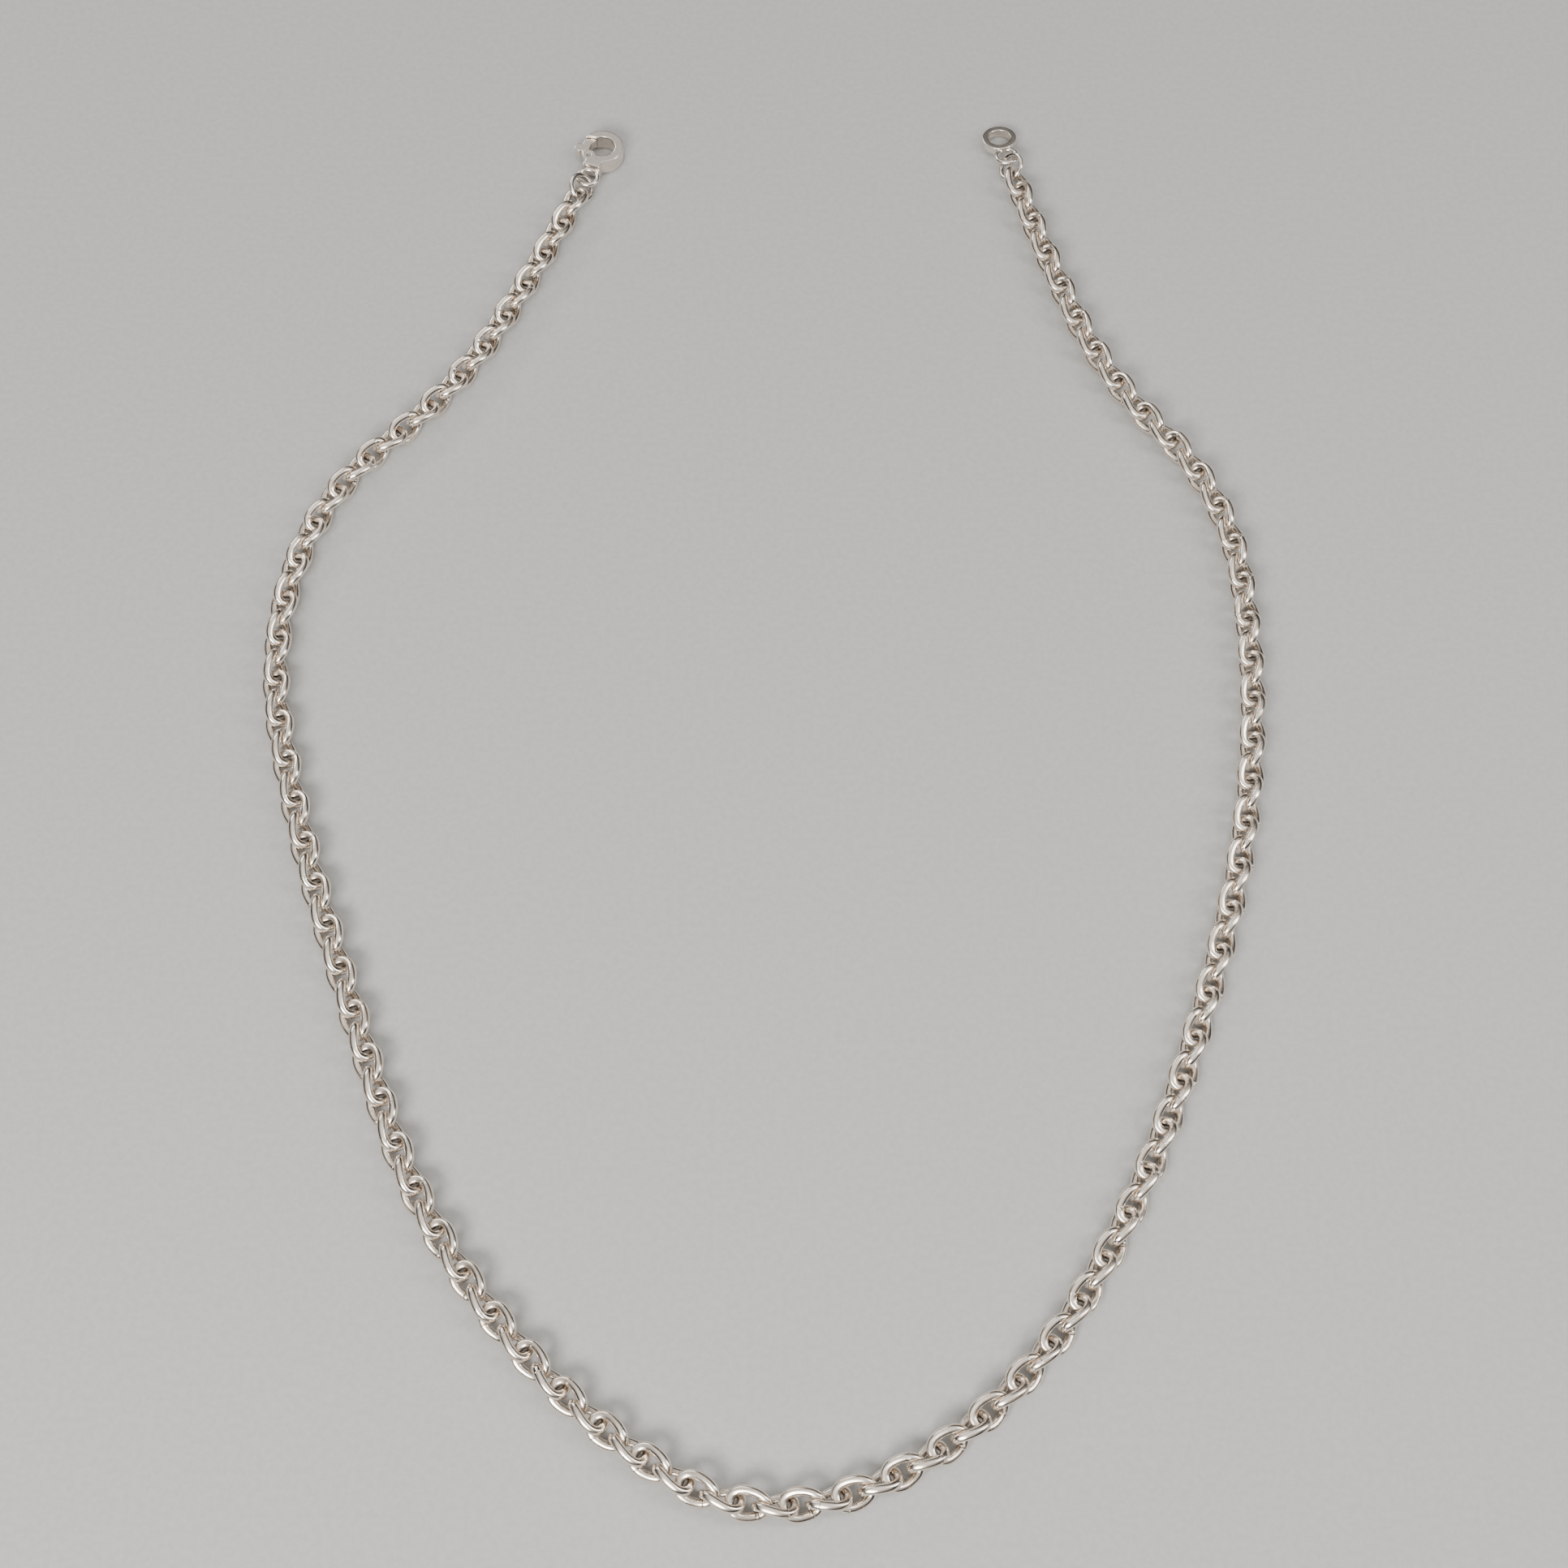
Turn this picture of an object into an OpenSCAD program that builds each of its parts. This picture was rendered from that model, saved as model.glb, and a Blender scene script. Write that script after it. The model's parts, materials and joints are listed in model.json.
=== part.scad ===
// Chain necklace in thick oval cable chain, laid open on a flat surface with its clasp undone.
// The flat is z = 0 and +Z is up. The middle link is nearest -Y, and both strands run from it
// towards +Y, the left one to the clasp and the right one to the end tab.

/* [Link] */
// Outside length of one link
link_length = 7.6; // [7.6:0.1:7.8]
// Outside width of one link
link_width = 5.9; // [5.8:0.1:6]
// Diameter of the round wire
wire_d = 1.6; // [1.5:0.05:1.6]
// Play between the wires of two neighbouring links
link_play = 0.3; // [0.25:0.05:0.35]

/* [Strands] */
// Nodes in each strand, left and right of the middle
nodes_per_strand = 24; // [12:2:24]

/* [Jump rings] */
// Wire diameter of the two jump rings
ring_wire_d = 1; // [0.9:0.05:1]
// Mean diameter of the two jump rings
ring_mean_d = 5; // [4.9:0.05:5]

/* [Clasp] */
// Thickness of the lobster clasp
clasp_t = 3.2; // [3:0.1:3.4]
// Outside radius of the claw
claw_r = 4.2; // [4.1:0.05:4.3]
// Radius of the space inside the claw
claw_bore_r = 2.5; // [2.4:0.05:2.6]
// Diameter of the lever's pivot pin
pin_d = 0.8; // [0.7:0.05:0.9]

/* [End tab] */
// Thickness of the flat tab that the clasp hooks into
tab_t = 1.6; // [1.4:0.1:1.8]
// Radius of the hole that takes the clasp
tab_bore_r = 2.2; // [2:0.1:2.4]

/* [Hidden] */
$fn = 64;
tube_fn = 32;

// Links that one node holds, which move as one.
links_per_node = 3;

// Even links tip this far from the flat, and odd links stand square to them.
tip_angle = 45;
pitch = link_length - 2 * wire_d - link_play;
bow_r = (link_width - wire_d) / 2;
arm_length = link_length - link_width;
axis_z = bow_r * max(sin(tip_angle), cos(tip_angle)) + wire_d / 2;
bow_reach = (link_length - wire_d) / 2;

// How each strand lies: runs of [links, turn of each link in degrees], from the middle outwards.
right_lay = [
  [4, 5.9], [5, 3.5], [6, 2.7], [8, 1.3], [9, 0.6], [9, 1.2], [8, 1.3], [8, 4.3], [8, -2.5], [8, -0.5]
];
left_lay = [
  [4, 7.5], [5, 2.4], [6, 1.9], [8, 2], [9, 0.1], [9, 0.7], [8, 3.1], [8, 4.3], [8, -2.5], [8, -0.5]
];
last_link = 1 + links_per_node * nodes_per_strand;

// Puts the origin under the middle of the necklace's box.
origin_shift = [2.2958, -134.0241];

function turn_of(lay, k, i = 0) =
  i >= len(lay) ? 0 : k <= lay[i][0] ? lay[i][1] : turn_of(lay, k - lay[i][0], i + 1);
function along(angle) = [cos(angle), sin(angle)];
function headings(lay) =
  [for (k = 0, h = 0; k <= last_link; k = k + 1, h = h + turn_of(lay, k)) h];
function centres(heads) =
  [for (
      k = 0, c = [0, 0];
      k <= last_link;
      k = k + 1, c = k > last_link ? c : c + pitch / 2 * (along(heads[k - 1]) + along(heads[k]))
    ) c];

right_heads = headings(right_lay);
left_heads = headings(left_lay);
right_centres = centres(right_heads);
left_centres = centres(left_heads);

// The jump ring hangs on the last link's end, and the next piece hangs in the jump ring.
ring_r = ring_mean_d / 2;
ring_reach = bow_reach - (wire_d + ring_wire_d) / 2 - link_play + ring_r;
ring_far = ring_reach + ring_r;

// The clasp, in its own flat frame: the eye's centre is the origin and the claw is along +X.
eye_mean_r = 2;
eye_wire_d = 1;
eye_play = 0.6;
eye_z = 2.2;
eye_reach = ring_far - (ring_wire_d + eye_wire_d) / 2 - eye_play + eye_mean_r;
claw_x = 7.4;
claw_mean_r = (claw_r + claw_bore_r) / 2;
clasp_end = claw_x + claw_r;
neck_w = 3.4;
neck_x = 2;
neck_end = claw_x - claw_bore_r - 0.6;
hook_gap = 0.15;
cheek_deg = 132;
pivot_deg = 152;
pivot_r = 1.2;
boss_r = 1.35;
slot_t = 1.6;
slot_r = 1.5;
blade_t = 0.9;
gate_t = 2;
gate_from_deg = 40;
gate_reach = 4.6;
gate_to_deg = 122;
thumb_deg = 108;
thumb_out = 0.4;
thumb_r = 1;
pin_run = 0.03;
spring_wire_d = 0.24;
spring_r = 0.85;
spring_turn = 300;
spring_leg = 0.9;

// The tab, in its own flat frame: the small eye's centre is the origin.
tab_end_r = tab_bore_r + 1.2;
tab_length = 5;
tab_neck_w = 2.4;

// The far ends of the clasp and of the tab rest on the flat, so both slope down to them.
clasp_pitch = asin((eye_z - clasp_t / 2) / clasp_end);
tab_pitch = asin((eye_z - tab_t / 2) / (tab_length + tab_end_r));

function two_digits(n) = n < 10 ? str("0", n) : str(n);
function strand_name(side, n) = str(side < 0 ? "links_left_" : "links_right_", two_digits(n));

// Half a turn of wire around the link's end.
module bow() {
  rotate([0, 0, -90])
    rotate_extrude(angle = 180)
      translate([bow_r, 0])
        circle(d = wire_d, $fn = tube_fn);
}

// One closed link, lying in the XY plane with its length along X.
module link() {
  union() {
    for (half = [0, 180])
      rotate([0, 0, half])
        translate([arm_length / 2, 0, 0])
          bow();
    for (y = [-bow_r, bow_r])
      translate([-arm_length / 2, y, 0])
        rotate([0, 90, 0])
          cylinder(d = wire_d, h = arm_length, $fn = tube_fn);
  }
}

// Puts a shape at link k of a strand, with +X away from the middle. side is -1 left, 1 right.
module at_link(side, k, z) {
  c = side < 0 ? left_centres[k] : right_centres[k];
  h = side < 0 ? left_heads[k] : right_heads[k];
  translate([side * c.x + origin_shift.x, c.y + origin_shift.y, z])
    rotate([0, 0, side < 0 ? 180 - h : h])
      children();
}

// Even links lean towards the inside of the loop, odd ones away from it.
function lean(side, k) = side * (k % 2 == 0 ? -tip_angle : 90 - tip_angle);

module placed_link(side, k) {
  at_link(side, k, axis_z)
    rotate([lean(side, k), 0, 0])
      link();
}

module links_middle() {
  color("silver") {
    placed_link(1, 0);
    placed_link(1, 1);
    placed_link(-1, 1);
  }
}

module strand_links(side, n) {
  color("silver")
    for (i = [0:links_per_node - 1])
      placed_link(side, 2 + links_per_node * (n - 1) + i);
}

module jump_ring(side) {
  color("silver")
    at_link(side, last_link, axis_z)
      rotate([lean(side, last_link + 1), 0, 0])
        translate([ring_reach, 0, 0])
          rotate_extrude()
            translate([ring_r, 0])
              circle(d = ring_wire_d, $fn = tube_fn);
}

// A strand's end piece, from its eye's centre outwards.
module at_eye(side, pitch_deg) {
  at_link(side, last_link, eye_z)
    translate([eye_reach, 0, 0])
      rotate([0, pitch_deg, 0])
        children();
}

module at_clasp() {
  at_eye(-1, clasp_pitch)
    children();
}

module at_pivot() {
  translate([claw_x + claw_mean_r * cos(pivot_deg), claw_mean_r * sin(pivot_deg), 0])
    children();
}

module eye() {
  rotate_extrude()
    translate([eye_mean_r, 0])
      circle(d = eye_wire_d, $fn = tube_fn);
}

// A disc or a ring's sector is drawn with its middle height at z = 0.
module slab(thickness) {
  translate([0, 0, -thickness / 2])
    linear_extrude(thickness)
      children();
}

// A flat sector between two angles, seen from the claw's centre.
module wedge(from_deg, to_deg) {
  reach = 2 * claw_r;
  steps = 6;
  polygon(concat(
    [[0, 0]],
    [for (i = [0:steps]) reach * along(from_deg + (to_deg - from_deg) * i / steps)]
  ));
}

module claw_ring() {
  difference() {
    circle(r = claw_r);
    circle(r = claw_bore_r);
  }
}

// The gate's tip and the hook's end are cut round about the pivot, so that the gate swings past.
module gate_circle(radius) {
  translate(claw_mean_r * along(pivot_deg))
    circle(r = radius);
}

// The fixed hook, the eye and the slotted neck that holds the lever.
module clasp_body() {
  color("silver")
    at_clasp()
      difference() {
        union() {
          eye();
          translate([claw_x, 0, 0])
            slab(clasp_t)
              difference() {
                claw_ring();
                intersection() {
                  wedge(gate_from_deg, cheek_deg);
                  gate_circle(gate_reach + hook_gap);
                }
              }
          slab(clasp_t)
            translate([neck_x, -neck_w / 2])
              square([neck_end - neck_x, neck_w]);
          at_pivot()
            slab(clasp_t)
              circle(r = boss_r);
        }
        lever_slot();
        at_pivot()
          slab(2 * clasp_t)
            circle(d = pin_d);
      }
}

// The pocket between the neck's two cheeks, open to the gate side and to the inside of the claw.
module lever_slot() {
  at_pivot()
    slab(slot_t)
      circle(r = slot_r);
  translate([claw_x, 0, 0])
    slab(slot_t)
      intersection() {
        circle(r = claw_r + slot_r);
        wedge(cheek_deg - 2, pivot_deg + 6);
      }
}

// The lever closes the claw. Its blade turns on the pin inside the slot.
module clasp_lever() {
  color("silver")
    at_clasp()
      difference() {
        union() {
          translate([claw_x, 0, 0])
            slab(blade_t)
              intersection() {
                claw_ring();
                wedge(gate_from_deg, pivot_deg);
                gate_circle(gate_reach);
              }
          translate([claw_x, 0, 0])
            slab(gate_t)
              union() {
                intersection() {
                  claw_ring();
                  wedge(gate_from_deg, gate_to_deg);
                  gate_circle(gate_reach);
                }
                translate((claw_r + thumb_out) * along(thumb_deg))
                  circle(r = thumb_r);
              }
          at_pivot()
            slab(blade_t)
              circle(r = pivot_r);
        }
        at_pivot()
          slab(2 * clasp_t)
            circle(d = pin_d + 2 * pin_run);
      }
}

module clasp_pin() {
  color("gray")
    at_clasp()
      at_pivot()
        slab(clasp_t)
          circle(d = pin_d);
}

// A turn of spring wire around the pin, between the blade and a cheek, with a leg at each end.
module clasp_spring() {
  color("gray")
    at_clasp()
      at_pivot()
        translate([0, 0, (slot_t + blade_t) / 4])
          union() {
            rotate([0, 0, 90])
              rotate_extrude(angle = spring_turn)
                translate([spring_r, 0])
                  circle(d = spring_wire_d, $fn = tube_fn);
            translate([0, spring_r, 0])
              rotate([0, 90, 0])
                cylinder(d = spring_wire_d, h = spring_leg, $fn = tube_fn);
            rotate([0, 0, spring_turn])
              translate([0, spring_r, 0])
                rotate([0, -90, 0])
                  cylinder(d = spring_wire_d, h = spring_leg, $fn = tube_fn);
          }
}

// A flat tab with a small eye for the jump ring and a large bore for the clasp.
module end_tab() {
  color("silver")
    at_eye(1, tab_pitch)
      difference() {
        union() {
          eye();
          translate([tab_length, 0, 0])
            slab(tab_t)
              circle(r = tab_end_r);
          slab(eye_wire_d)
            translate([eye_mean_r, -tab_neck_w / 2])
              square([tab_length - eye_mean_r, tab_neck_w]);
        }
        translate([tab_length, 0, 0])
          slab(2 * tab_t)
            circle(r = tab_bore_r);
      }
}

links_middle();
for (n = [1:nodes_per_strand]) {
  strand_links(-1, n);
  strand_links(1, n);
}
jump_ring(-1);  // jump_ring_left
clasp_body();
clasp_lever();
clasp_pin();
clasp_spring();
jump_ring(1);  // jump_ring_right
end_tab();
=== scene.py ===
"""The looks of the chain necklace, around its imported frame. Every length is in metres."""
import json
import math
import random

import bpy
import numpy as np
from mathutils import Matrix, Vector

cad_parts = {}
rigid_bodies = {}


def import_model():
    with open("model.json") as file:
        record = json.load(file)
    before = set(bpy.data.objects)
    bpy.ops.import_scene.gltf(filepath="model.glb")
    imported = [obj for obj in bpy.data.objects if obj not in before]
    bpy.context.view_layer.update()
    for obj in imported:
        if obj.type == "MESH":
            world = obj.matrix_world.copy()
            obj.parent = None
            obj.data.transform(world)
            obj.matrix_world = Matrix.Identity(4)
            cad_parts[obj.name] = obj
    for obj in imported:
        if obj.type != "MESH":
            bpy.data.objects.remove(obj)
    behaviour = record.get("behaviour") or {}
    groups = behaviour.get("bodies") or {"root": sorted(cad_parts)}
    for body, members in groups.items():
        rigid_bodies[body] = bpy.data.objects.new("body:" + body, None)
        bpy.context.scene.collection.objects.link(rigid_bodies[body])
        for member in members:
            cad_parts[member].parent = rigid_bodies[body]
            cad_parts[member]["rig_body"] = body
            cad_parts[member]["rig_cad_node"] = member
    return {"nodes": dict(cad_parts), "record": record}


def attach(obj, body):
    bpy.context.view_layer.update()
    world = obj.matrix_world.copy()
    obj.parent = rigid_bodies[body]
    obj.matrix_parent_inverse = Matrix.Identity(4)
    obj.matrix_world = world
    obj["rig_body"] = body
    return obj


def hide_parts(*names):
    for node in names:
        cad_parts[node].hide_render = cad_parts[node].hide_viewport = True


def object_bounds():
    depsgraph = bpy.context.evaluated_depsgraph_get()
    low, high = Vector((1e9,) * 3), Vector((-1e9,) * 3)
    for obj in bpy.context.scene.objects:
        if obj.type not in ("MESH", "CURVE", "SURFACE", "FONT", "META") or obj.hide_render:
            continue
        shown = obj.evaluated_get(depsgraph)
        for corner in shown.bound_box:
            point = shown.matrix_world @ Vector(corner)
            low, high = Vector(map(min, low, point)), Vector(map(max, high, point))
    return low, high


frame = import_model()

cad_low, cad_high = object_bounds()
MM = 0.001
CAD_NODES = frame["nodes"]
BODY_OF = {node: body for body, nodes in frame["record"]["behaviour"]["bodies"].items() for node in nodes}

# The real links are twisted about their long axis, and the frame's own links are flat ovals.
# Twisted links pass closer to each other, so their wire is a little thinner than the frame's.
TWIST = math.radians(45)
WIRE_SHARE = 0.98
# The chain also lies rolled about its own line, which would make it too tall if it weren't flattened.
CHAIN_ROLL = math.radians(-12)
FLATTENED = 0.90
# A power of 2 gives an ellipse or a circle, and more than 2 gives straighter sides.
OVAL_POWER = 2.3
SECTION_POWER = 2.45
# How finely a wire is meshed: along a centreline before it is swept, along the mesh, and round the wire.
CURVE_STEPS = 720
RINGS = 116
SIDES = 22

# The solder seam of each loop: a low bead, with a fine groove in its middle, and closer rings near it.
BEAD_HEIGHT, BEAD_REACH = 0.030 * MM, 0.20 * MM
GROOVE_HEIGHT, GROOVE_REACH = -0.060 * MM, 0.032 * MM
SEAM_DIRT_REACH = 0.05 * MM
NEAR_SEAM = MM * np.array([-0.34, -0.22, -0.12, -0.07, -0.035, 0, 0.035, 0.07, 0.12, 0.22, 0.34])
DENT_DEPTH = 0.006
DENT_WAVES = (2, 3, 5, 7)


# ---------------------------------------------------------------- materials

def new_material(name):
    """A material with a Principled shader, its node adder and its linker."""
    material = bpy.data.materials.new(name)
    material.use_nodes = True
    tree = material.node_tree
    shader = tree.nodes["Principled BSDF"]

    def add(kind, **settings):
        node = tree.nodes.new(kind)
        for key, value in settings.items():
            if key in node.inputs.keys():
                node.inputs[key].default_value = value
            else:
                setattr(node, key, value)
        return node

    return material, shader, add, tree.links.new


def remap(add, link, source, low, high, out_low, out_high):
    """A smooth step from one range of values to another."""
    node = add("ShaderNodeMapRange", interpolation_type="SMOOTHSTEP")
    for socket, value in zip(("From Min", "From Max", "To Min", "To Max"), (low, high, out_low, out_high)):
        node.inputs[socket].default_value = value
    link(source, node.inputs["Value"])
    return node.outputs["Result"]


def blend_colour(add, link, amount, first, second):
    """A colour between two, each of which is a plain colour or another node's output."""
    node = add("ShaderNodeMix", data_type="RGBA")
    link(amount, node.inputs["Factor"])
    for socket, colour in ((node.inputs[6], first), (node.inputs[7], second)):
        if isinstance(colour, tuple):
            socket.default_value = (*colour, 1)
        else:
            link(colour, socket)
    return node.outputs[2]


def product(add, link, first, second):
    """One node's output times a number or another node's output."""
    node = add("ShaderNodeMath", operation="MULTIPLY")
    link(first, node.inputs[0])
    if isinstance(second, float):
        node.inputs[1].default_value = second
    else:
        link(second, node.inputs[1])
    return node.outputs[0]


def silver(name, bright, warm, dark, gloss, drawn):
    """Polished silver: warm patches, painted shade on the inner sides of the wire with dirt at its solder
    seam, fine scratches and drawing lines along the wire.
    """
    material, shader, add, link = new_material(name)
    place = add("ShaderNodeTexCoord").outputs["Object"]
    shader.inputs["Metallic"].default_value = 1.0

    patches = add("ShaderNodeTexNoise", Scale=420.0, Detail=3.0, Roughness=0.55)
    link(place, patches.inputs["Vector"])
    specks = add("ShaderNodeTexNoise", Scale=2600.0, Detail=4.0, Roughness=0.7)
    link(place, specks.inputs["Vector"])
    shade_and_seam_dirt = add("ShaderNodeAttribute", attribute_name="shade_and_seam_dirt").outputs["Fac"]

    warmth = remap(add, link, patches.outputs["Fac"], 0.36, 0.70, 0.0, 0.6)
    colour = blend_colour(add, link, warmth, bright, warm)
    # Painted shade: the colour goes towards dark on the inner sides of the wire and at the bow ends, mottled
    # by specks. It also goes dark at the solder seam, where the darkening is real dirt.
    shade_and_seam_grime = product(add, link, shade_and_seam_dirt, remap(add, link, specks.outputs["Fac"], 0.3, 0.65, 0.25, 1.0))
    link(blend_colour(add, link, shade_and_seam_grime, colour, dark), shader.inputs["Base Color"])

    dull = remap(add, link, patches.outputs["Fac"], 0.30, 0.72, gloss, gloss + 0.10)
    link(dull, shader.inputs["Roughness"])

    lengths = add("ShaderNodeMapping")
    lengths.inputs["Scale"].default_value = drawn
    link(add("ShaderNodeUVMap", uv_map="Wire").outputs["UV"], lengths.inputs["Vector"])
    lines = add("ShaderNodeTexNoise", Scale=1.0, Detail=2.0, Roughness=0.5)
    link(lengths.outputs["Vector"], lines.inputs["Vector"])
    line_bump = add("ShaderNodeBump", Strength=0.16, Distance=0.00002)
    link(lines.outputs["Fac"], line_bump.inputs["Height"])

    scratches = add("ShaderNodeTexNoise", Scale=9000.0, Detail=2.0, Roughness=0.6, Distortion=1.5)
    link(place, scratches.inputs["Vector"])
    scratch_bump = add("ShaderNodeBump", Strength=0.08, Distance=0.000006)
    link(scratches.outputs["Fac"], scratch_bump.inputs["Height"])
    link(line_bump.outputs["Normal"], scratch_bump.inputs["Normal"])
    link(scratch_bump.outputs["Normal"], shader.inputs["Normal"])
    return material


def steel(name):
    """Drawn spring steel, a little darker and duller than the silver."""
    material, shader, add, link = new_material(name)
    place = add("ShaderNodeTexCoord").outputs["Object"]
    shader.inputs["Metallic"].default_value = 1.0
    grain = add("ShaderNodeTexNoise", Scale=5200.0, Detail=3.0, Roughness=0.6)
    link(place, grain.inputs["Vector"])
    shade = remap(add, link, grain.outputs["Fac"], 0.35, 0.65, 0.0, 1.0)
    link(blend_colour(add, link, shade, (0.44, 0.43, 0.42), (0.62, 0.61, 0.60)), shader.inputs["Base Color"])
    link(remap(add, link, grain.outputs["Fac"], 0.3, 0.7, 0.26, 0.42), shader.inputs["Roughness"])
    bump = add("ShaderNodeBump", Strength=0.2, Distance=0.00001)
    link(grain.outputs["Fac"], bump.inputs["Height"])
    link(bump.outputs["Normal"], shader.inputs["Normal"])
    return material


def pale_floor_material():
    """The plain pale floor, with a faint grain."""
    material, shader, add, link = new_material("pale_floor")
    place = add("ShaderNodeTexCoord").outputs["Object"]
    grain = add("ShaderNodeTexNoise", Scale=900.0, Detail=4.0, Roughness=0.6)
    link(place, grain.inputs["Vector"])
    shade = remap(add, link, grain.outputs["Fac"], 0.3, 0.7, 0.0, 1.0)
    link(blend_colour(add, link, shade, (0.41, 0.412, 0.41), (0.45, 0.452, 0.45)), shader.inputs["Base Color"])
    shader.inputs["Roughness"].default_value = 0.75
    return material


LINK_SILVER = silver(
    "link_silver",
    bright=(0.93, 0.85, 0.76),
    warm=(0.80, 0.67, 0.55),
    dark=(0.075, 0.055, 0.042),
    gloss=0.19,
    drawn=(60.0, 9.0, 1.0),
)
FITTING_SILVER = silver(
    "fitting_silver",
    bright=(0.89, 0.83, 0.76),
    warm=(0.77, 0.68, 0.60),
    dark=(0.12, 0.10, 0.08),
    gloss=0.16,
    drawn=(40.0, 6.0, 1.0),
)
SPRING_STEEL = steel("spring_steel")


# ---------------------------------------------------------------- reading the frame

def solids_of(node):
    """The separate solids of a CAD node, each as its triangles' corners."""
    mesh = CAD_NODES[node].data
    mesh.calc_loop_triangles()
    corners = np.array([v.co for v in mesh.vertices], float)
    triangles = np.array([t.vertices[:] for t in mesh.loop_triangles])
    welded = {}
    same = np.array([welded.setdefault(tuple(np.round(c, 7)), len(welded)) for c in corners])
    parent = list(range(len(welded)))

    def root(i):
        while parent[i] != i:
            parent[i] = parent[parent[i]]
            i = parent[i]
        return i

    for a, b, c in same[triangles]:
        parent[root(a)] = root(b)
        parent[root(b)] = root(c)
    groups = np.array([root(i) for i in same[triangles[:, 0]]])
    return [corners[triangles[groups == g]] for g in dict.fromkeys(groups)]


def axes_of(solid):
    """The middle of a flat oval solid, and its long, wide and thin axes with the size along each."""
    a, b, c = solid[:, 0], solid[:, 1], solid[:, 2]
    area = np.linalg.norm(np.cross(b - a, c - a), axis=1)
    centre = (area[:, None] * (a + b + c)).sum(0) / (3 * area.sum())
    spread = np.zeros((3, 3))
    for p in ((a + b) / 2, (b + c) / 2, (c + a) / 2):
        d = p - centre
        spread += (area[:, None] * d).T @ d
    axes = np.linalg.eigh(spread)[1][:, ::-1].T
    if np.linalg.det(axes) < 0:
        axes[2] = -axes[2]
    flat = (solid.reshape(-1, 3) - centre) @ axes.T
    sizes = flat.max(0) - flat.min(0)
    return centre, axes, sizes


# ---------------------------------------------------------------- wire shapes

def mesh_piece(name, points, faces, uvs, shade_and_seam_dirt, material):
    """A smooth mesh with its Wire coordinates (metres along and round the wire) and its attribute of painted
    shade on the inner sides of the wire and dirt at the solder seam.
    """
    mesh = bpy.data.meshes.new(name)
    mesh.from_pydata(points.tolist(), [], faces)
    layer = mesh.uv_layers.new(name="Wire")
    layer.data.foreach_set("uv", np.asarray(uvs, np.float32).ravel())
    attribute = mesh.attributes.new("shade_and_seam_dirt", "FLOAT", "POINT")
    attribute.data.foreach_set("value", np.asarray(shade_and_seam_dirt, np.float32))
    mesh.polygons.foreach_set("use_smooth", [True] * len(mesh.polygons))
    mesh.materials.append(material)
    mesh.update()
    piece = bpy.data.objects.new(name, mesh)
    bpy.context.scene.collection.objects.link(piece)
    return piece


def spaced_round(curve, extra):
    """Points along a closed curve, evenly spaced by length apart from some extra ones."""
    steps = np.linalg.norm(np.roll(curve, -1, 0) - curve, axis=1)
    along = np.concatenate([[0], np.cumsum(steps)])
    closed = np.vstack([curve, curve[:1]])
    at = np.union1d(np.linspace(0, along[-1], RINGS, endpoint=False), extra(along[-1]) % along[-1])
    points = np.stack([np.interp(at, along, closed[:, k]) for k in range(3)], axis=1)
    return points, at, along[-1]


def link_curve(length, width, twist):
    """The centreline of a twisted oval, long along X and wide along Y."""
    t = np.linspace(0, 2 * math.pi, CURVE_STEPS, endpoint=False)
    c, s = np.cos(t), np.sin(t)
    x = length / 2 * np.sign(c) * np.abs(c) ** (2 / OVAL_POWER)
    w = width / 2 * np.sign(s) * np.abs(s) ** (2 / OVAL_POWER)
    turn = twist * x / length
    return np.stack([x, w * np.cos(turn), w * np.sin(turn)], axis=1)


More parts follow.
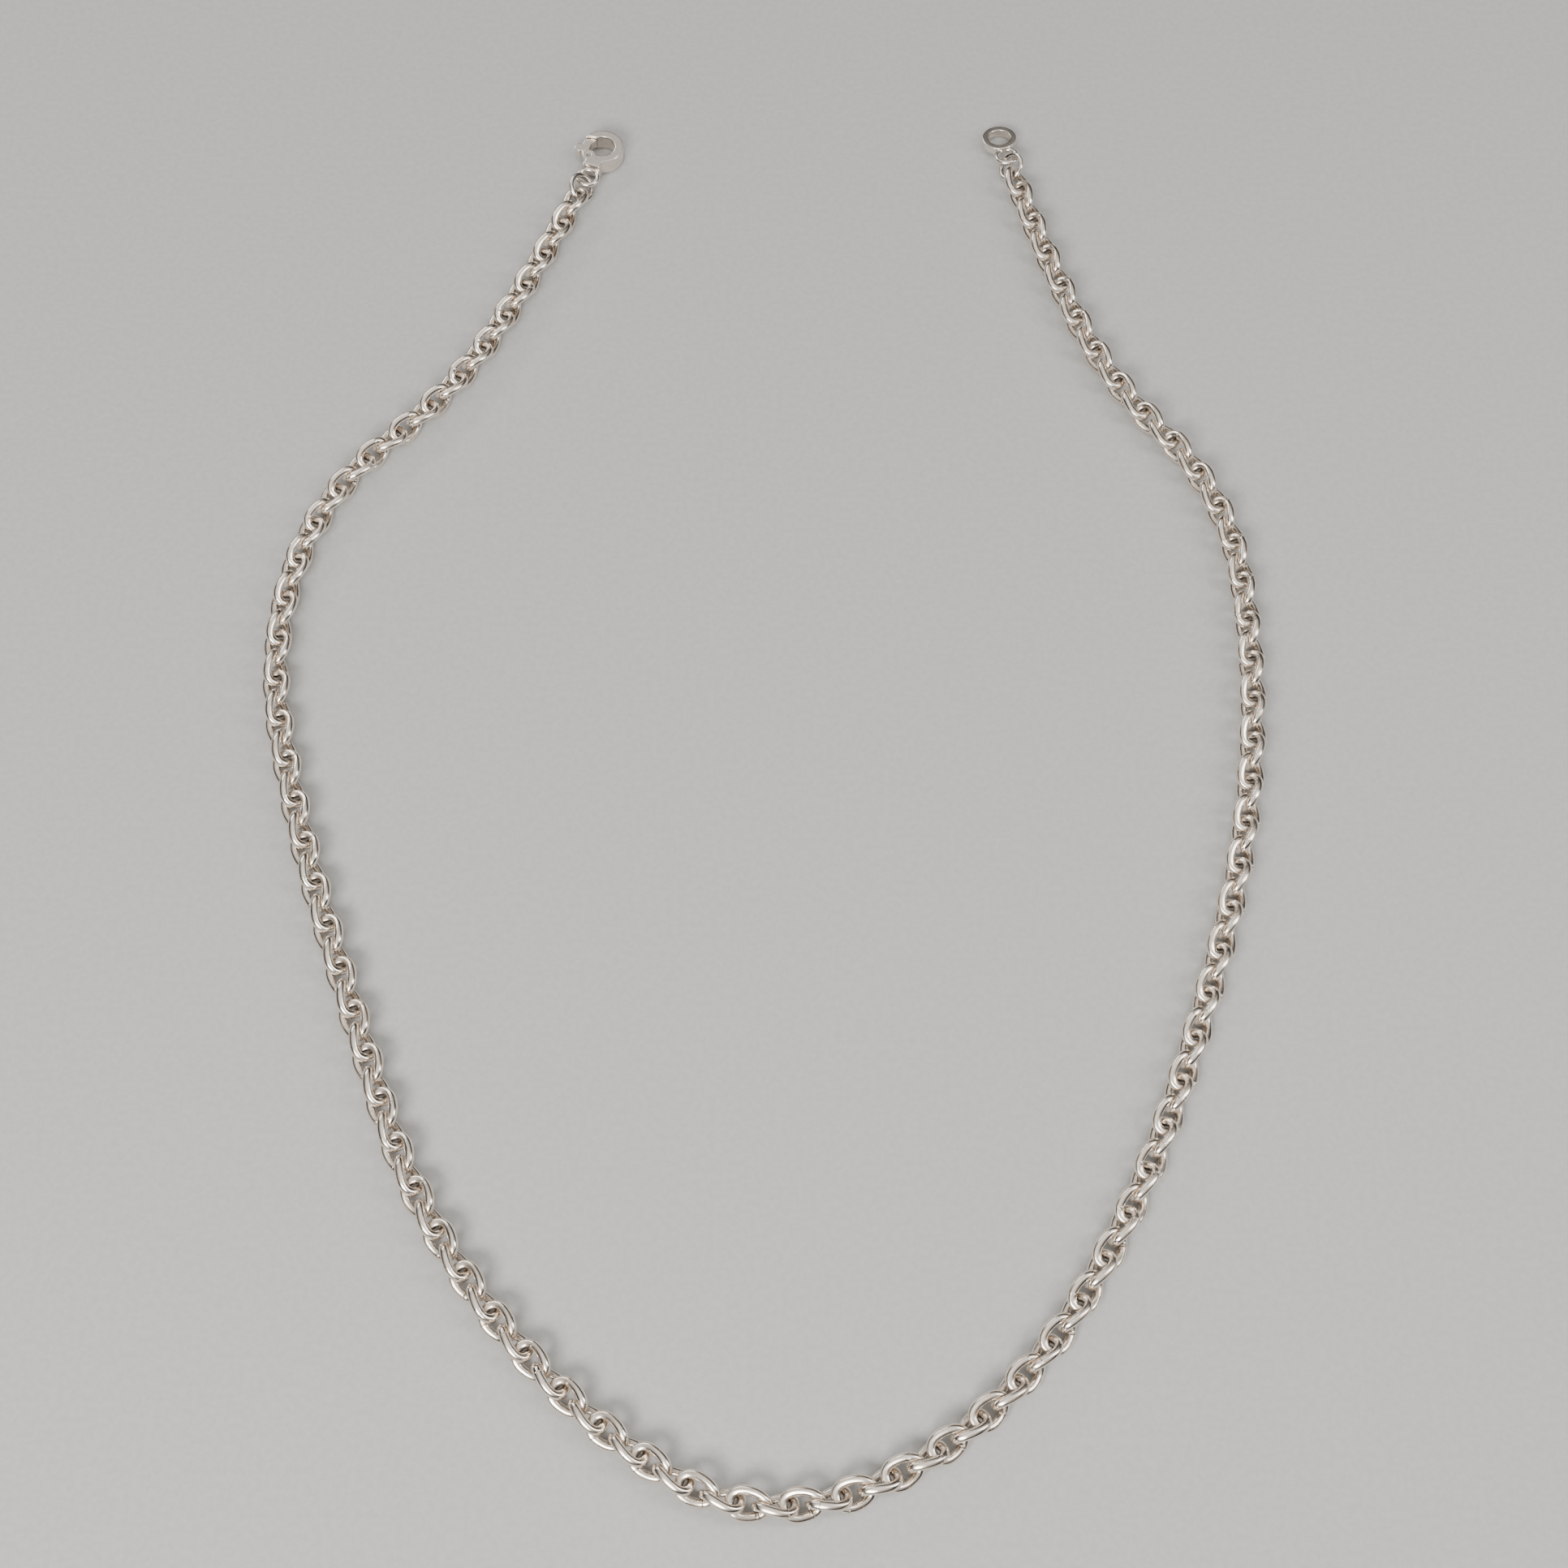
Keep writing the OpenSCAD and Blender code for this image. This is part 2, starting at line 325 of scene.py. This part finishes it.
def wire_loop(curve, plane_turn, wire, seam, rng):
    """Sweeps a softly squared round section round a closed curve, with a soldered seam and slight dents."""
    points, at, total = spaced_round(curve, lambda full: seam * full + NEAR_SEAM)
    n = len(points)
    tangent = np.roll(points, -1, 0) - np.roll(points, 1, 0)
    tangent /= np.linalg.norm(tangent, axis=1)[:, None]
    turn = plane_turn(points[:, 0])
    upright = np.stack([np.zeros(n), -np.sin(turn), np.cos(turn)], axis=1)
    upright -= (upright * tangent).sum(1)[:, None] * tangent
    upright /= np.linalg.norm(upright, axis=1)[:, None]
    outward = np.cross(tangent, upright)

    away = (at - seam * total + total / 2) % total - total / 2
    bead = BEAD_HEIGHT * np.exp(-((away / BEAD_REACH) ** 2))
    groove = GROOVE_HEIGHT * np.exp(-((away / GROOVE_REACH) ** 2))
    angle = at / total * 2 * math.pi
    dents = sum(
        rng.uniform(0.0, DENT_DEPTH) * np.cos(k * angle + rng.uniform(0, 2 * math.pi)) for k in DENT_WAVES
    )
    radius = wire / 2 * (1 + dents) + bead + groove

    ring = np.linspace(0, 2 * math.pi, SIDES, endpoint=False)
    c, s = np.cos(ring), np.sin(ring)
    squared = (np.abs(c) ** SECTION_POWER + np.abs(s) ** SECTION_POWER) ** (-1 / SECTION_POWER)
    section = np.stack([c, s], axis=1) * squared[:, None]
    section /= np.sqrt((section ** 2).sum(1).mean()) * 1.012
    surface = (
        points[:, None]
        + radius[:, None, None] * section[None, :, :1] * outward[:, None]
        + radius[:, None, None] * section[None, :, 1:] * upright[:, None]
    ).reshape(-1, 3)
    # Painted shade: the inner side of the wire, which faces the hole of its loop, is darkened in the colour,
    # more so towards the bow ends where the next link passes. seam_dirt adds real dirt at the solder seam.
    inward = np.clip(-section[:, 0], 0, 1)
    bow = np.clip(np.abs(points[:, 0]) / np.abs(points[:, 0]).max() - 0.55, 0, 1) / 0.45
    seam_dirt = np.exp(-((away / SEAM_DIRT_REACH) ** 2))
    shade_and_seam_dirt = 0.6 * inward[None] + 0.4 * (bow[:, None] * inward[None]) + 0.8 * seam_dirt[:, None]
    shade_and_seam_dirt = np.clip(shade_and_seam_dirt, 0, 1)

    faces, uvs = [], []
    for i in range(n):
        j = (i + 1) % n
        u0, u1 = at[i], at[j] if j else total
        for k in range(SIDES):
            m = (k + 1) % SIDES
            faces.append((i * SIDES + k, j * SIDES + k, j * SIDES + m, i * SIDES + m))
            v0, v1 = k / SIDES * math.pi * wire, (k + 1) / SIDES * math.pi * wire
            uvs += [(u0 / MM, v0 / MM), (u1 / MM, v0 / MM), (u1 / MM, v1 / MM), (u0 / MM, v1 / MM)]
    return surface, faces, uvs, shade_and_seam_dirt.ravel()


# ---------------------------------------------------------------- the chain's links

def oval_link(name, centre, axes, sizes, rng):
    """One twisted link in place of a flat oval of the frame."""
    length, width, wire = sizes[0] - sizes[2], sizes[1] - sizes[2], sizes[2] * WIRE_SHARE
    twist = TWIST * rng.uniform(0.97, 1.02)
    curve = link_curve(length, width, twist)
    seam = rng.choice((0.155, 0.655)) + rng.uniform(-0.012, 0.012)
    surface, faces, uvs, shade_and_seam_dirt = wire_loop(curve, lambda x: twist * x / length, wire, seam, rng)
    rolled = Matrix.Rotation(CHAIN_ROLL + math.radians(rng.uniform(-1.0, 1.0)), 3, "X")
    placed = surface @ np.array(rolled).T @ axes
    placed[:, 2] *= FLATTENED
    return mesh_piece(name, placed + centre, faces, uvs, shade_and_seam_dirt, LINK_SILVER)


def chain_links():
    """One visual link for each solid of the frame's link nodes."""
    rng = random.Random(7)
    middle = (cad_low + cad_high) / 2
    for node in sorted(n for n in CAD_NODES if n.startswith("links_")):
        solids = sorted((axes_of(s) for s in solids_of(node)), key=lambda s: (s[0][0], s[0][1]))
        for letter, (centre, axes, sizes) in zip("abc", solids):
            # Every link's long axis points the same way round the loop, so that all lie rolled one way.
            run = Vector((centre[0], centre[1] - middle.y, 0)).cross(Vector((0, 0, 1)))
            if axes[0] @ np.array(run) > 0:
                axes = axes * np.array([[-1], [-1], [1]])
            piece = oval_link(f"{node}_{letter}", centre, axes, sizes, rng)
            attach(piece, BODY_OF[node])
            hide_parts(node)


# ---------------------------------------------------------------- the end fittings

def jump_rings():
    """The two round rings at the ends of the chain."""
    rng = random.Random(11)
    for node in ("jump_ring_left", "jump_ring_right"):
        centre, axes, sizes = axes_of(solids_of(node)[0])
        mean = (sizes[0] + sizes[1]) / 2 - sizes[2]
        t = np.linspace(0, 2 * math.pi, CURVE_STEPS, endpoint=False)
        curve = mean / 2 * np.stack([np.cos(t), np.sin(t), 0 * t], axis=1)
        surface, faces, uvs, shade_and_seam_dirt = wire_loop(curve, lambda x: 0 * x, sizes[2], 0.3, rng)
        piece = mesh_piece(f"{node}_wire", surface @ axes + centre, faces, uvs, shade_and_seam_dirt, FITTING_SILVER)
        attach(piece, BODY_OF[node])
        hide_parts(node)


def tumbled(node, name, grain, passes):
    """A copy of a CAD solid with its edges rounded over, as tumbling rounds a casting."""
    piece = CAD_NODES[node].copy()
    piece.data = CAD_NODES[node].data.copy()
    piece.name = name
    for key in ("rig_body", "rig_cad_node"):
        del piece[key]
    piece.parent = None
    bpy.context.scene.collection.objects.link(piece)
    remesh = piece.modifiers.new("even", "REMESH")
    remesh.mode = "VOXEL"
    remesh.voxel_size = grain
    remesh.use_smooth_shade = True
    smooth = piece.modifiers.new("round", "SMOOTH")
    smooth.factor = 0.5
    smooth.iterations = passes
    depsgraph = bpy.context.evaluated_depsgraph_get()
    mesh = bpy.data.meshes.new_from_object(piece.evaluated_get(depsgraph))
    piece.modifiers.clear()
    piece.data = mesh
    mesh.name = name
    mesh.materials.clear()
    mesh.materials.append(FITTING_SILVER)
    mesh.attributes.new("shade_and_seam_dirt", "FLOAT", "POINT")
    layer = mesh.uv_layers.new(name="Wire")
    flat = np.array([mesh.vertices[loop.vertex_index].co[:2] for loop in mesh.loops]) / MM
    layer.data.foreach_set("uv", flat.astype(np.float32).ravel())
    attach(piece, BODY_OF[node])
    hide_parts(node)


def fittings():
    """The rings, clasp and tab. The clasp's pin and spring keep their CAD shapes."""
    jump_rings()
    tumbled("clasp_body", "clasp_casting", 0.075 * MM, 16)
    tumbled("clasp_lever", "clasp_thumb_lever", 0.06 * MM, 12)
    tumbled("end_tab", "end_tab_casting", 0.07 * MM, 16)
    for node in ("clasp_pin", "clasp_spring"):
        CAD_NODES[node].data.materials.clear()
        CAD_NODES[node].data.materials.append(SPRING_STEEL)


# ---------------------------------------------------------------- floor, light and camera

def floor_and_light():
    """A floor under the necklace, a sky that is bright overhead, and three softboxes."""
    bpy.ops.mesh.primitive_plane_add(size=6, location=(0, 0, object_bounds()[0].z))
    floor = bpy.context.object
    floor.name = "floor"
    floor.data.materials.append(pale_floor_material())

    world = bpy.data.worlds.new("studio")
    bpy.context.scene.world = world
    world.use_nodes = True
    nodes, link = world.node_tree.nodes, world.node_tree.links.new
    height = nodes.new("ShaderNodeSeparateXYZ")
    link(nodes.new("ShaderNodeTexCoord").outputs["Generated"], height.inputs[0])
    glow = nodes.new("ShaderNodeValToRGB")
    glow.color_ramp.elements[0].position = 0.45
    glow.color_ramp.elements[0].color = (0.012, 0.011, 0.011, 1)
    glow.color_ramp.elements[1].position = 0.93
    glow.color_ramp.elements[1].color = (1.0, 0.97, 0.93, 1)
    link(height.outputs["Z"], glow.inputs["Fac"])
    link(glow.outputs["Color"], nodes["Background"].inputs["Color"])
    nodes["Background"].inputs["Strength"].default_value = 1.25

    for name, place, size, watts, colour in (
        ("key_softbox", (-0.24, -0.58, 0.50), (0.42, 0.26), 8.0, (1.0, 0.965, 0.92)),
        ("fill_softbox", (0.62, -0.05, 0.48), (0.20, 0.50), 3.0, (1.0, 0.97, 0.94)),
        ("back_softbox", (-0.45, 0.62, 0.42), (0.60, 0.14), 2.0, (1.0, 0.98, 0.96)),
    ):
        data = bpy.data.lights.new(name, "AREA")
        data.shape = "RECTANGLE"
        data.size, data.size_y = size
        data.energy = watts
        data.color = colour
        light = bpy.data.objects.new(name, data)
        bpy.context.scene.collection.objects.link(light)
        light.location = place
        light.rotation_euler = (-Vector(place)).to_track_quat("-Z", "Y").to_euler()


def camera():
    """Looks down on the necklace from in front, as the loop was seen on its wearer's chest."""
    middle = (cad_low + cad_high) / 2
    target = Vector((middle.x + 0.0036, middle.y - 0.0107, 0))
    elevation = math.radians(64)
    distance = 0.42
    data = bpy.data.cameras.new("camera")
    data.sensor_width = 36
    data.lens = 54.9
    data.clip_start = 0.01
    eye = bpy.data.objects.new("camera", data)
    bpy.context.scene.collection.objects.link(eye)
    back = Vector((0, -math.cos(elevation), math.sin(elevation)))
    eye.location = target + distance * back
    eye.rotation_euler = (-back).to_track_quat("-Z", "Y").to_euler()
    bpy.context.scene.camera = eye


chain_links()
fittings()
floor_and_light()
camera()
